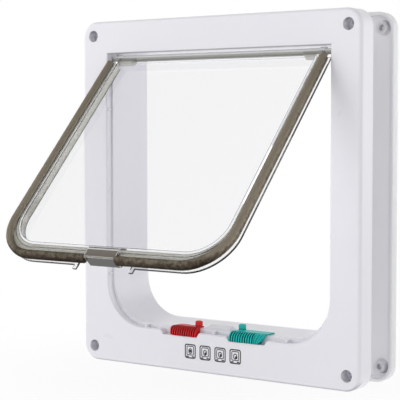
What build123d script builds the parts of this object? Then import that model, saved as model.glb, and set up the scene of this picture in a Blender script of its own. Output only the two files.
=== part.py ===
from build123d import *
import math
import os

# Cat flap for a door: two white frames with a telescoping tunnel, a clear swinging flap with pile strips, and
# two lock sliders on the sill. Millimetres, X across the door, Y through it to the rear frame, Z up.
# The origin is the centre of the screw pattern, on the plane where the front frame meets the door.

# Frames
FRAME_WIDTH = 235.0
FRAME_HEIGHT = 250.0
FRAME_CORNER_R = 12.0
SKIRT_T = 2.5
FRONT_DEPTH = 15.0
FRONT_PLATE_T = 3.0
FRONT_EDGE_R = 2.5
DOOR_T = 28.0
REAR_DEPTH = 8.0
REAR_PLATE_T = 2.5
REAR_EDGE_R = 2.0
OVERRUN = 1.0

# Opening, rim and ledge of the front frame
SIDE_BORDER = 23.2
TOP_BORDER = 23.7
BOTTOM_BORDER = 28.1
OPENING_CORNER_R = 32.0
OPENING_BEVEL = 0.7
RIM_WIDTH = 6.0
RIM_DEPTH = 5.4
LEDGE_T = 2.0
LEDGE_SIDE = 1.5
LEDGE_BOTTOM = 2.7

# Telescoping tunnel
TUNNEL_WALL = 2.0
TUNNEL_REACH = 30.2
SLEEVE_GAP = 0.4
SLEEVE_WALL = 2.0
SLEEVE_REACH = 18.5
REAR_OPENING_R = 3.0

# Screw bosses and stiffening ribs
SCREW_INSET_X = 10.0
SCREW_INSET_Z = 10.6
SCREW_HOLE_R = 2.5
SCREW_HEAD_R = 4.15
SCREW_HEAD_DEPTH = 7.0
FRONT_BOSS_R = 6.0
REAR_BOSS_TIP_R = 4.1
REAR_BOSS_BASE_R = 5.15
REAR_BOSS_SETBACK = 0.8
REAR_PILOT_R = 2.1
REAR_PILOT_FLOOR = 1.2
RIB_T = 1.6
RIB_SETBACK = 5.0
RIB_SPACING = 60.0

# Hinge
HINGE_SETBACK = 6.8
HINGE_DROP = 3.8
OPEN_ANGLE = 43.0
PIN_R = 2.0
PIN_CLEARANCE = 0.05
PIN_END_GAP = 0.4
BAR_R = 2.4
KNUCKLE_R = 3.2
PIVOT_BLOCK_T = 4.5
PIVOT_BLOCK_DROP = 11.0
PIVOT_BLOCK_BACK = 5.0
PIVOT_POCKET_DROP = 9.0

# Flap section: the panel lies at the back of an edge channel that opens outwards
CHANNEL_T = 8.0
FLANGE_T = 1.3
WEB_T = 1.6
PANEL_T = 2.3
PILE_SIDE_GAP = 0.4
PILE_SHOW = 1.8
FRONT_LIP_STEP = 3.4
WEB_STEP = 5.2
LIP_SILL_GAP = 7.4
FRONT_LIP_RISE = 6.3
WEB_RISE = 9.1
LIP_CORNER_R = 30.0
FRONT_LIP_CORNER_R = 27.0
WEB_CORNER_R = 25.0
LEG_TOP = 2.6
NECK_BOTTOM = 4.5
NECK_TOP = 1.2
EAR_LENGTH = 13.0
EAR_BOTTOM = 6.0
EAR_SLANT = 2.0

# Pile bead: bevelled all round, and further forward than the channel
PILE_TOP = 7.5
PILE_BULGE = 4.3
PILE_BACK_STEP = 2.1
PILE_BEVEL = 1.9
PILE_CLIP_GAP = 0.2

# Magnets, clip and sill cover
MAGNET_LENGTH = 18.0
MAGNET_WIDTH = 4.0
MAGNET_T = 3.0
MAGNET_GAP = 0.05
CLIP_LENGTH = 25.2
CLIP_WALL = 1.0
CLIP_GRIP = 3.3
CLIP_FLOOR = 2.0
CLIP_EDGE = 0.6
CUP_WALL = 1.2
CUP_FLOOR = 1.2
CUP_SETBACK = 8.8
COVER_LENGTH = 24.0
COVER_HEIGHT = 2.7
COVER_LIP = 0.6
COVER_RAMP = 6.0
COVER_DEPTH = 8.4
COVER_END_SLANT = 4.0

# Lock sliders: ribbed grip in a notch of the front plate, plate on the sill, stop tab and snap leg
SLIDE_TRAVEL = 5.0
SLIDER_GAP = 0.3
SLIDER_INNER_X = 14.2
GRIP_LENGTH = 23.8
GRIP_PROUD = 0.6
GRIP_DROP = 3.1
GRIP_TOP_R = 5.4
GRIP_FLATS = 4
GRIP_END_R = 3.3
GRIP_RIBS = 12
GRIP_RIB_FILL = 0.5
GRIP_RIB_DEPTH = 0.9
PLATE_T = 0.8
PLATE_FLOAT = 0.2
PLATE_MARGIN = 0.3
GREEN_ARM = 8.2
TAB_INSET = 0.4
TAB_LENGTH = 4.8
TAB_T = 2.4
TAB_HEIGHT = 4.9
TAB_LIP_GAP = 0.5
TAB_TOP_R = 1.2
NOTCH_FLARE = 2.4
LEG_INSET = 12.8
LEG_LENGTH = 6.0
LEG_T = 2.0
LEG_SETBACK = 9.8
FOOT_T = 1.4
FOOT_HOOK = 1.0
LOCK_STOP_LENGTH = 3.0
LOCK_STOP_GAP = 2.0
LOCK_STOP_FLOAT = 4.1

# Planes and edges worked out from the sizes above
FRONT_Y = -FRONT_DEPTH
PLATE_BACK_Y = FRONT_Y + FRONT_PLATE_T
LEDGE_Y = FRONT_Y + RIM_DEPTH
RIM_BACK_Y = LEDGE_Y + LEDGE_T
REAR_LIP_Y = DOOR_T
REAR_FLOOR_Y = DOOR_T + REAR_DEPTH - REAR_PLATE_T
REAR_BACK_Y = DOOR_T + REAR_DEPTH
SLEEVE_FRONT_Y = DOOR_T - SLEEVE_REACH
SCREW_X = FRAME_WIDTH / 2 - SCREW_INSET_X
SCREW_Z = FRAME_HEIGHT / 2 - SCREW_INSET_Z
OPENING_HALF = FRAME_WIDTH / 2 - SIDE_BORDER
OPENING_TOP = FRAME_HEIGHT / 2 - TOP_BORDER
OPENING_BOTTOM = BOTTOM_BORDER - FRAME_HEIGHT / 2
TUNNEL_HALF = OPENING_HALF - LEDGE_SIDE
FLOOR_Z = OPENING_BOTTOM + LEDGE_BOTTOM
TUNNEL_CORNER_R = OPENING_CORNER_R - LEDGE_SIDE
SLEEVE_GROWTH = TUNNEL_WALL + SLEEVE_GAP
HINGE_Y = FRONT_Y + HINGE_SETBACK
HINGE_Z = OPENING_TOP - HINGE_DROP
PIVOT_BLOCK_X = TUNNEL_HALF + TUNNEL_WALL + PIVOT_BLOCK_T
PILE_HALF = TUNNEL_HALF - PILE_SIDE_GAP
LIP_HALF = PILE_HALF - PILE_SHOW
FRONT_LIP_HALF = LIP_HALF - FRONT_LIP_STEP
WEB_HALF = LIP_HALF - WEB_STEP
LIP_DROP = HINGE_Z - FLOOR_Z - LIP_SILL_GAP
PILE_DROP = LIP_DROP + PILE_SHOW
PILE_CORNER_R = LIP_CORNER_R + PILE_SHOW
FRONT_LIP_DROP = LIP_DROP - FRONT_LIP_RISE
WEB_DROP = LIP_DROP - WEB_RISE
CLIP_DROP = FRONT_LIP_DROP + SLIDER_GAP + MAGNET_T + CLIP_FLOOR + 2 * MAGNET_GAP
LOCK_STOP_DROP = HINGE_Z - FLOOR_Z - LOCK_STOP_FLOAT
LOCK_STOP_X = SLIDER_INNER_X + TAB_INSET + TAB_LENGTH + LOCK_STOP_GAP
PLATE_TOP_Z = FLOOR_Z + PLATE_FLOAT + PLATE_T
GRIP_BOTTOM_Z = OPENING_BOTTOM - GRIP_DROP
GRIP_BACK_Y = LEDGE_Y - SLIDER_GAP
GRIP_FRONT_Y = FRONT_Y - GRIP_PROUD
GRIP_END_X = SLIDER_INNER_X + GRIP_LENGTH
NOTCH_SLOPE = NOTCH_FLARE / (GRIP_DROP + SLIDER_GAP)
MAGNET_Y = FRONT_Y + CUP_SETBACK
LEG_Y = FRONT_Y + LEG_SETBACK
HALF_CHANNEL = CHANNEL_T / 2
FLAP_PLACE = Location((0, HINGE_Y, HINGE_Z), (-OPEN_ANGLE, 0, 0))


def upright(sketch, y_front, y_back):
    """Extrude an upright sketch, X across and Z up, from y_front to y_back."""
    return extrude(Plane.XZ.offset(-y_back) * sketch, y_back - y_front)


def doorway(half_width, top, bottom, corner_r):
    """Sketch of an opening with square top corners and round bottom corners."""
    shape = Pos(0, (top + bottom) / 2) * Rectangle(2 * half_width, top - bottom)
    return fillet(shape.vertices().sort_by(Axis.Y)[:2], corner_r)


def grown_tunnel(growth):
    """Sketch of the tunnel's bore, grown outwards on every side."""
    return doorway(
        TUNNEL_HALF + growth,
        OPENING_TOP + growth,
        FLOOR_Z - growth,
        TUNNEL_CORNER_R + growth,
    )


def grown_opening(growth):
    """Sketch of the front plate's opening, grown outwards on every side."""
    return doorway(
        OPENING_HALF + growth,
        OPENING_TOP + growth,
        OPENING_BOTTOM - growth,
        OPENING_CORNER_R + growth,
    )


def block(x_span, y_span, z_span):
    """Box between three pairs of limits."""
    spans = (x_span, y_span, z_span)
    size = [high - low for low, high in spans]
    centre = [(high + low) / 2 for low, high in spans]
    return Pos(*centre) * Box(*size)


def rod_x(radius, x_low, x_high):
    """Rod on the hinge line of the hanging flap."""
    rod = Cylinder(radius, x_high - x_low, rotation=(0, 90, 0))
    return Pos((x_low + x_high) / 2, 0, 0) * rod


def rod_y(radius, y_low, y_high, tip_radius=None):
    """Rod or taper through the door, with its tip radius at y_low."""
    length = y_high - y_low
    solid = Cone(radius, tip_radius, length) if tip_radius else Cylinder(radius, length)
    return Pos(0, (y_low + y_high) / 2, 0) * Rot(90, 0, 0) * solid


def both_sides(solid):
    """A solid and its mirror image across the middle."""
    return solid + mirror(solid, Plane.YZ)


def at_screws(solid):
    """Four copies of a solid, one on each screw axis."""
    places = [Pos(x, 0, z) for x in (-SCREW_X, SCREW_X) for z in (-SCREW_Z, SCREW_Z)]
    return [place * solid for place in places]


def frame_blank(y_front, y_back, inset):
    """Rounded plate of the frames' outline, drawn in by an inset."""
    outline = RectangleRounded(FRAME_WIDTH - 2 * inset, FRAME_HEIGHT - 2 * inset, FRAME_CORNER_R - inset)
    return upright(outline, y_front, y_back)


def stiffening_ribs():
    """Ribs behind the front plate, from the tunnel wall out to the skirt."""
    depth = (PLATE_BACK_Y - FRONT_PLATE_T / 2, -RIB_SETBACK)
    side_x = (TUNNEL_HALF + TUNNEL_WALL / 2, (FRAME_WIDTH - SKIRT_T) / 2)
    top_z = (OPENING_TOP + TUNNEL_WALL / 2, (FRAME_HEIGHT - SKIRT_T) / 2)
    bottom_z = ((SKIRT_T - FRAME_HEIGHT) / 2, FLOOR_Z - TUNNEL_WALL / 2)
    ribs = []
    for step in (-1, 0, 1):
        middle = step * RIB_SPACING
        span = (middle - RIB_T / 2, middle + RIB_T / 2)
        ribs.append(both_sides(block(side_x, depth, span)))
        ribs.append(block(span, depth, top_z))
        ribs.append(block(span, depth, bottom_z))
    return ribs


def pivot_blocks():
    """Bearing blocks for the flap's pins, outside the tunnel walls."""
    x_span = (TUNNEL_HALF + TUNNEL_WALL / 2, PIVOT_BLOCK_X)
    y_span = (PLATE_BACK_Y - FRONT_PLATE_T / 2, HINGE_Y + PIVOT_BLOCK_BACK)
    z_span = (HINGE_Z - PIVOT_BLOCK_DROP, OPENING_TOP + TUNNEL_WALL)
    return both_sides(block(x_span, y_span, z_span))


def pivot_cuts():
    """Pocket in the ledge beside each end of the hinge bar, and the bores for the pins."""
    x_span = (TUNNEL_HALF - OVERRUN, OPENING_HALF)
    y_span = (LEDGE_Y - OVERRUN, HINGE_Y + PIVOT_BLOCK_BACK)
    pocket = block(x_span, y_span, (HINGE_Z - PIVOT_POCKET_DROP, OPENING_TOP))
    bore = rod_x(PIN_R + PIN_CLEARANCE, TUNNEL_HALF - OVERRUN, PIVOT_BLOCK_X + OVERRUN)
    return both_sides(pocket + Pos(0, HINGE_Y, HINGE_Z) * bore)


def magnet_cup():
    """Cup under the sill that holds the lower magnet, and its pocket."""
    half_x = MAGNET_LENGTH / 2 + MAGNET_GAP
    half_y = MAGNET_WIDTH / 2 + MAGNET_GAP
    bottom = FLOOR_Z - MAGNET_T - MAGNET_GAP
    cup = block(
        (-half_x - CUP_WALL, half_x + CUP_WALL),
        (MAGNET_Y - half_y - CUP_WALL, MAGNET_Y + half_y + CUP_WALL),
        (bottom - CUP_FLOOR, FLOOR_Z - TUNNEL_WALL / 2),
    )
    pocket = block((-half_x, half_x), (MAGNET_Y - half_y, MAGNET_Y + half_y), (bottom, FLOOR_Z + OVERRUN))
    return cup, pocket


def slider_seats():
    """Notches in the front plate for the grips, and slots in the sill for the snap legs."""
    inner = SLIDER_INNER_X - SLIDER_GAP
    outer = GRIP_END_X + SLIDE_TRAVEL + SLIDER_GAP
    low = GRIP_BOTTOM_Z - SLIDER_GAP
    high = FLOOR_Z
    flare = NOTCH_SLOPE * (high - low)
    outline = Polygon((inner, low), (outer, low), (outer + flare, high), (inner - flare, high), align=None)
    notch = upright(outline, FRONT_Y - OVERRUN, LEDGE_Y)
    leg_low = SLIDER_INNER_X + LEG_INSET
    slot = block(
        (leg_low - SLIDER_GAP, leg_low + LEG_LENGTH + SLIDE_TRAVEL + SLIDER_GAP),
        (LEG_Y - LEG_T / 2 - SLIDER_GAP, LEG_Y + LEG_T / 2 + SLIDER_GAP),
        (FLOOR_Z - TUNNEL_WALL - OVERRUN, FLOOR_Z + OVERRUN),
    )
    return both_sides(notch + slot)


def front_frame():
    """White front frame: skirted plate, rim and ledge, tunnel, bosses, ribs and seats."""
    frame = frame_blank(FRONT_Y, 0, 0) - upright(grown_opening(0), FRONT_Y, 0)
    face = frame.faces().sort_by(Axis.Y)[0]
    outer_edges = face.outer_wire().edges()
    frame = fillet(outer_edges, FRONT_EDGE_R)
    face = frame.faces().filter_by(Axis.Y).sort_by(Axis.Y)[0]
    frame = chamfer(face.inner_wires()[0].edges(), OPENING_BEVEL)
    frame -= frame_blank(PLATE_BACK_Y, 0, SKIRT_T)
    overlap = FRONT_PLATE_T / 2
    frame += upright(grown_opening(RIM_WIDTH) - grown_opening(0), PLATE_BACK_Y - overlap, LEDGE_Y)
    frame += upright(grown_opening(RIM_WIDTH) - grown_tunnel(0), LEDGE_Y, RIM_BACK_Y)
    frame += upright(grown_tunnel(TUNNEL_WALL) - grown_tunnel(0), LEDGE_Y, TUNNEL_REACH)
    frame += at_screws(rod_y(FRONT_BOSS_R, PLATE_BACK_Y - overlap, 0))
    frame += stiffening_ribs()
    frame += pivot_blocks()
    cup, pocket = magnet_cup()
    frame += cup
    frame -= pocket
    frame -= pivot_cuts()
    frame -= slider_seats()
    frame -= at_screws(rod_y(SCREW_HOLE_R, FRONT_Y, 0))
    frame -= at_screws(rod_y(SCREW_HEAD_R, FRONT_Y, FRONT_Y + SCREW_HEAD_DEPTH))
    return frame


def rear_frame():
    """White rear frame: shallow tray with a sleeve round the tunnel and four screw bosses."""
    frame = frame_blank(REAR_LIP_Y, REAR_BACK_Y, 0)
    frame = fillet(frame.faces().sort_by(Axis.Y)[-1].edges(), REAR_EDGE_R)
    frame -= frame_blank(REAR_LIP_Y, REAR_FLOOR_Y, SKIRT_T)
    overlap = REAR_PLATE_T / 2
    frame += upright(grown_tunnel(SLEEVE_GROWTH + SLEEVE_WALL), SLEEVE_FRONT_Y, REAR_FLOOR_Y + overlap)
    tip_y = REAR_LIP_Y + REAR_BOSS_SETBACK
    frame += at_screws(rod_y(REAR_BOSS_BASE_R, tip_y, REAR_FLOOR_Y, REAR_BOSS_TIP_R))
    frame -= upright(grown_tunnel(SLEEVE_GROWTH), SLEEVE_FRONT_Y, REAR_BACK_Y)
    face = frame.faces().filter_by(Axis.Y).sort_by(Axis.Y)[-1]
    frame = fillet(face.inner_wires()[0].edges(), REAR_OPENING_R)
    frame -= at_screws(rod_y(REAR_PILOT_R, tip_y, REAR_BACK_Y - REAR_PILOT_FLOOR))
    return frame


def hung(half_width, drop, corner_r, top=LEG_TOP):
    """Sketch of a shape that hangs from the hinge line."""
    return doorway(half_width, -top, -drop, corner_r)


def web_inside(growth=0.0):
    """Sketch of the space inside the flap's edge channel."""
    radius = WEB_CORNER_R - WEB_T + growth
    return hung(WEB_HALF - WEB_T + growth, WEB_DROP - WEB_T + growth, radius)


def edge_channel():
    """Edge channel of the flap: a web with a short front lip and a long rear lip."""
    web = hung(WEB_HALF, WEB_DROP, WEB_CORNER_R) - web_inside()
    front = hung(FRONT_LIP_HALF, FRONT_LIP_DROP, FRONT_LIP_CORNER_R) - web_inside()
    rear = hung(LIP_HALF, LIP_DROP, LIP_CORNER_R) - web_inside()
    channel = upright(web, -HALF_CHANNEL, HALF_CHANNEL)
    channel += upright(front, -HALF_CHANNEL, FLANGE_T - HALF_CHANNEL)
    channel += upright(rear, HALF_CHANNEL - FLANGE_T, HALF_CHANNEL)
    notch = block((-LOCK_STOP_X, LOCK_STOP_X), (0, CHANNEL_T), (-LIP_DROP - OVERRUN, -FRONT_LIP_DROP))
    return channel - notch


def hinge_line():
    """Hinge bar with its neck, the knuckles and the pivot pins, on the hinge line."""
    half_bar = WEB_HALF - WEB_T / 2
    bar = rod_x(BAR_R, -half_bar, half_bar)
    neck_back = HALF_CHANNEL - PANEL_T / 2
    bar += block((-half_bar, half_bar), (HALF_CHANNEL - PANEL_T, neck_back), (-NECK_BOTTOM, NECK_TOP))
    bar += both_sides(rod_x(KNUCKLE_R, WEB_HALF - WEB_T, FRONT_LIP_HALF))
    bar += both_sides(rod_x(PIN_R, FRONT_LIP_HALF - OVERRUN, PIVOT_BLOCK_X - PIN_END_GAP))
    outer = WEB_HALF - WEB_T / 2
    inner = outer - EAR_LENGTH
    ear = Polygon(
        (outer, -BAR_R),
        (inner, -BAR_R),
        (inner, EAR_SLANT - EAR_BOTTOM),
        (inner + EAR_SLANT, -EAR_BOTTOM),
        (outer, -EAR_BOTTOM),
        align=None,
    )
    return bar + both_sides(upright(ear, -BAR_R, neck_back))


def lock_stops():
    """Two stops that hang from the rear lip, one beside each end of its notch."""
    x_span = (LOCK_STOP_X, LOCK_STOP_X + LOCK_STOP_LENGTH)
    y_span = (HALF_CHANNEL - FLANGE_T, HALF_CHANNEL)
    return both_sides(block(x_span, y_span, (-LOCK_STOP_DROP, -FRONT_LIP_DROP)))


def flap_panel():
    """Clear flap, hanging: panel, edge channel, hinge line and lock stops in one moulding."""
    panel = upright(web_inside(WEB_T / 2), HALF_CHANNEL - PANEL_T, HALF_CHANNEL)
    return panel + edge_channel() + hinge_line() + lock_stops()


def pile_strips():
    """Left and right pile strips, hanging: a backing in the channel and a bevelled bead outside it."""
    inside = HALF_CHANNEL - FLANGE_T
    tip = hung(PILE_HALF, PILE_DROP, PILE_CORNER_R, PILE_TOP)
    lip = hung(FRONT_LIP_HALF, FRONT_LIP_DROP, FRONT_LIP_CORNER_R, PILE_TOP)
    web = hung(WEB_HALF, WEB_DROP, WEB_CORNER_R, PILE_TOP)
    bead = upright(tip, -inside - PILE_BULGE, inside - PILE_BACK_STEP)
    bead = chamfer(bead.faces().sort_by(Axis.Y)[-1].edges().sort_by(Axis.Z)[:-1], PILE_BEVEL)
    bead -= upright(lip, -CHANNEL_T, CHANNEL_T)
    bead = chamfer(bead.faces().sort_by(Axis.Y)[0].edges().sort_by(Axis.Z)[:-2], PILE_BEVEL)
    pile = bead + upright(lip - web, -inside, inside)
    half_clip = CLIP_LENGTH / 2 + PILE_CLIP_GAP
    pile -= block((-half_clip, half_clip), (-CHANNEL_T, CHANNEL_T), (-PILE_DROP - OVERRUN, 0))
    left, right = pile.solids().sort_by(Axis.X)
    return left, right


def magnet_clip():
    """Clear clip, hanging: it grips the channel's lips and holds a magnet below them."""
    half_x = CLIP_LENGTH / 2
    half_y = HALF_CHANNEL + CLIP_WALL
    clip = block((-half_x, half_x), (-half_y, half_y), (-CLIP_DROP, CLIP_GRIP - FRONT_LIP_DROP))
    clip = chamfer(clip.edges().filter_by(Axis.X), CLIP_EDGE)
    seat = -FRONT_LIP_DROP - SLIDER_GAP
    clip -= block((-half_x, half_x), (-HALF_CHANNEL, HALF_CHANNEL), (seat, 0))
    clip -= block(
        (-MAGNET_LENGTH / 2 - MAGNET_GAP, MAGNET_LENGTH / 2 + MAGNET_GAP),
        (-MAGNET_WIDTH / 2 - MAGNET_GAP, MAGNET_WIDTH / 2 + MAGNET_GAP),
        (CLIP_FLOOR - CLIP_DROP, 0),
    )
    return clip


def magnet(y_middle, z_low):
    """Bar magnet with its lower face at z_low."""
    x_span = (-MAGNET_LENGTH / 2, MAGNET_LENGTH / 2)
    y_span = (y_middle - MAGNET_WIDTH / 2, y_middle + MAGNET_WIDTH / 2)
    return block(x_span, y_span, (z_low, z_low + MAGNET_T))


def sill_magnet_cover():
    """White cover on the sill over the lower magnet, with a ramped front and slanted ends."""
    back = LEDGE_Y + COVER_DEPTH
    top = FLOOR_Z + COVER_HEIGHT
    half = COVER_LENGTH / 2
    section = Polygon(
        (LEDGE_Y, FLOOR_Z),
        (back, FLOOR_Z),
        (back, top),
        (LEDGE_Y + COVER_RAMP, top),
        (LEDGE_Y, FLOOR_Z + COVER_LIP),
        align=None,
    )
    front = Polygon(
        (-half, FLOOR_Z),
        (half, FLOOR_Z),
        (half - COVER_END_SLANT, top),
        (COVER_END_SLANT - half, top),
        align=None,
    )
    return extrude(Plane.YZ.offset(-half) * section, COVER_LENGTH) & upright(front, LEDGE_Y, back)


def grip_section(inset):
    """Upright section of a slider's grip, drawn in from its front, which curves back in a few flats."""
    front = GRIP_FRONT_Y + inset
    bottom = GRIP_BOTTOM_Z + inset
    top = PLATE_TOP_Z - inset
    radius = GRIP_TOP_R - inset
    curve = []
    for step in range(GRIP_FLATS + 1):
        turn = math.pi / 2 * step / GRIP_FLATS
        curve.append((front + radius * (1 - math.sin(turn)), top - radius * (1 - math.cos(turn))))
    return Polygon((front, bottom), (GRIP_BACK_Y, bottom), (GRIP_BACK_Y, top), *curve, align=None)


def grip_bar(inset, length):
    """Plain bar of a grip's section, from the slider's inner end outwards."""
    return extrude(Plane.YZ.offset(SLIDER_INNER_X) * grip_section(inset), length)


def ribbed_grip():
    """Ribbed thumb grip of a slider, square at both ends."""
    pitch = GRIP_LENGTH / GRIP_RIBS
    rib = grip_bar(0, GRIP_RIB_FILL * pitch)
    ribs = [Pos(index * pitch, 0, 0) * rib for index in range(GRIP_RIBS)]
    return grip_bar(GRIP_RIB_DEPTH, GRIP_LENGTH) + ribs


def round_ended_grip():
    """Ribbed grip whose outer end is rounded off, seen from the front and from above."""
    depth = GRIP_BACK_Y - GRIP_FRONT_Y
    height = PLATE_TOP_Z - GRIP_BOTTOM_Z
    middle_x = (SLIDER_INNER_X + GRIP_END_X) / 2
    face = Pos(middle_x, GRIP_BOTTOM_Z + height / 2) * Rectangle(GRIP_LENGTH, height)
    face = fillet(face.vertices().sort_by(Axis.X)[-2:], GRIP_END_R)
    plan = Pos(middle_x, GRIP_FRONT_Y + depth / 2) * Rectangle(GRIP_LENGTH, depth)
    plan = fillet(plan.vertices().sort_by(lambda vertex: vertex.Y - vertex.X)[0], GRIP_END_R)
    rounded = upright(face, GRIP_FRONT_Y, GRIP_BACK_Y)
    rounded &= extrude(Plane.XY.offset(GRIP_BOTTOM_Z) * plan, height)
    return ribbed_grip() & rounded


def slant_ended_grip():
    """Ribbed grip that ends in a plain wedge, parallel to the end of its notch."""
    inner = GRIP_END_X - GRIP_END_R
    reach = GRIP_END_X + NOTCH_SLOPE * (PLATE_TOP_Z - GRIP_BOTTOM_Z)
    outline = Polygon(
        (inner, GRIP_BOTTOM_Z),
        (GRIP_END_X, GRIP_BOTTOM_Z),
        (reach, PLATE_TOP_Z),
        (inner, PLATE_TOP_Z),
        align=None,
    )
    wedge = grip_bar(0, reach - SLIDER_INNER_X) & upright(outline, GRIP_FRONT_Y, GRIP_BACK_Y)
    return ribbed_grip() + wedge


def lock_slider(grip, tab_front_y, arm):
    """Lock slider on the +X side: its grip with a sill plate, a stop tab and a snap leg."""
    inner = SLIDER_INNER_X
    tab_y = (tab_front_y, tab_front_y + TAB_T)
    plate_x = (inner, GRIP_END_X + arm - GRIP_END_R)
    plate_y = (GRIP_BACK_Y - OVERRUN, max(tab_y[1], LEG_Y) + PLATE_MARGIN)
    plate = block(plate_x, plate_y, (PLATE_TOP_Z - PLATE_T, PLATE_TOP_Z))
    tab_x = (inner + TAB_INSET, inner + TAB_INSET + TAB_LENGTH)
    tab = block(tab_x, tab_y, (PLATE_TOP_Z - PLATE_T, FLOOR_Z + TAB_HEIGHT))
    tab = fillet(tab.edges().filter_by(Axis.Y).group_by(Axis.Z)[-1], TAB_TOP_R)
    leg_x = (inner + LEG_INSET, inner + LEG_INSET + LEG_LENGTH)
    foot_top = FLOOR_Z - TUNNEL_WALL - SLIDER_GAP
    leg_y = (LEG_Y - LEG_T / 2, LEG_Y + LEG_T / 2)
    leg = block(leg_x, leg_y, (foot_top - FOOT_T, PLATE_TOP_Z))
    foot_y = (leg_y[0] - FOOT_HOOK, leg_y[1] + FOOT_HOOK)
    foot = block(leg_x, foot_y, (foot_top - FOOT_T, foot_top))
    foot = chamfer(foot.edges().filter_by(Axis.X).group_by(Axis.Z)[0], FOOT_HOOK / 2)
    return grip + plate + tab + leg + foot


def build_parts():
    """Every piece of the cat flap, by name, with the flap open."""
    lip_front = HINGE_Y + HALF_CHANNEL - FLANGE_T
    lip_back = HINGE_Y + HALF_CHANNEL
    pile_left, pile_right = pile_strips()
    red = lock_slider(round_ended_grip(), lip_front - TAB_LIP_GAP - TAB_T, 0.0)
    green = lock_slider(slant_ended_grip(), lip_back + TAB_LIP_GAP, GREEN_ARM)
    return {
        "front_frame": front_frame(),
        "rear_frame": rear_frame(),
        "flap_panel": FLAP_PLACE * flap_panel(),
        "pile_strip_left": FLAP_PLACE * pile_left,
        "pile_strip_right": FLAP_PLACE * pile_right,
        "magnet_clip": FLAP_PLACE * magnet_clip(),
        "flap_magnet": FLAP_PLACE * magnet(0.0, CLIP_FLOOR - CLIP_DROP),
        "sill_magnet": magnet(MAGNET_Y, FLOOR_Z - MAGNET_T),
        "sill_magnet_cover": sill_magnet_cover(),
        "lock_slider_red": mirror(red, Plane.YZ),
        "lock_slider_green": green,
    }


os.makedirs("parts", exist_ok=True)
for name, part in build_parts().items():
    part.label = name
    export_step(part, f"parts/{name}.step")
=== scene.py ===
"""Looks of a cat flap for a door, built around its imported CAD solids.

The CAD nodes keep their own shapes and get procedural finishes. The pile strips of the flap are replaced by
strips of real fibres. The printed signs on the front frame and the fanned ribs on the green slider are added.
"""

from __future__ import annotations

import logging
import math
import random
from dataclasses import dataclass, replace
from enum import Enum
from typing import Any, Iterable

import bmesh
import bpy
from mathutils import Matrix, Vector

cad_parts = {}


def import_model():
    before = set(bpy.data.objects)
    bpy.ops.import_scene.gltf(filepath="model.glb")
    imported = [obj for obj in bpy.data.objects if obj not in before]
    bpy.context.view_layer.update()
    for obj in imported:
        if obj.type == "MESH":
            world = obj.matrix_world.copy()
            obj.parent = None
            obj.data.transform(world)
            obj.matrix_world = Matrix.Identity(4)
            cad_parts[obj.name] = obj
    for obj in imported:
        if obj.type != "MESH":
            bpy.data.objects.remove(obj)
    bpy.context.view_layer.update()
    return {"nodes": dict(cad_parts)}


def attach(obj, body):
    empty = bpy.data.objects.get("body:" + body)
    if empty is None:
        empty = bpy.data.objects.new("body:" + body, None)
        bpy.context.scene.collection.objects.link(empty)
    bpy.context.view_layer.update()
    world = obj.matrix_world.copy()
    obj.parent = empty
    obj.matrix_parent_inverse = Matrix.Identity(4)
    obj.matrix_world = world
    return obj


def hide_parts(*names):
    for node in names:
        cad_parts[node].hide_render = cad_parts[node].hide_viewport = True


LOG = logging.getLogger("cat_flap")
MM = 0.001
QUARTER_TURN = math.pi / 2

Colour = tuple[float, float, float]
Pair = tuple[float, float]
Stops = tuple[tuple[float, Colour], ...]
Socket = bpy.types.NodeSocket

WHITE: Colour = (1.0, 1.0, 1.0)


class Side(Enum):
    """Side of the flap, by the sign of X."""

    LEFT = -1
    RIGHT = 1


class Sign(Enum):
    """A printed sign, by its dot's place: millimetres right and up from the middle of its small flap."""

    SHUT = (0.0, 0.0)
    INWARD = (0.5, -0.5)
    OUTWARD = (0.7, -0.4)
    BOTH = (0.9, -0.7)


@dataclass(frozen=True)
class FlapPlace:
    """Where the hanging flap's own frame lies: its hinge line and how far it is swung open."""

    hinge_y: float = -8.2 * MM
    hinge_z: float = 97.5 * MM
    open_angle: float = math.radians(43.0)

    def matrix(self) -> Matrix:
        """Matrix from the hanging flap's frame to the part's frame."""
        swing = Matrix.Rotation(-self.open_angle, 4, "X")
        return Matrix.Translation((0.0, self.hinge_y, self.hinge_z)) @ swing


@dataclass(frozen=True)
class Pattern:
    """A noise pattern.

    Attributes:
        scale: Cells per metre.
        detail: Octaves of finer noise.
        stops: Levels of the noise that give the first and the second of two colours.
    """

    scale: float
    detail: float
    stops: Pair = (0.0, 1.0)


@dataclass(frozen=True)
class Relief:
    """A bump: the height of its relief in metres, and its strength from 0 to 1."""

    depth: float
    strength: float


@dataclass(frozen=True)
class Gloss:
    """A roughness that drifts to both sides of its middle."""

    middle: float
    spread: float


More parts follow.
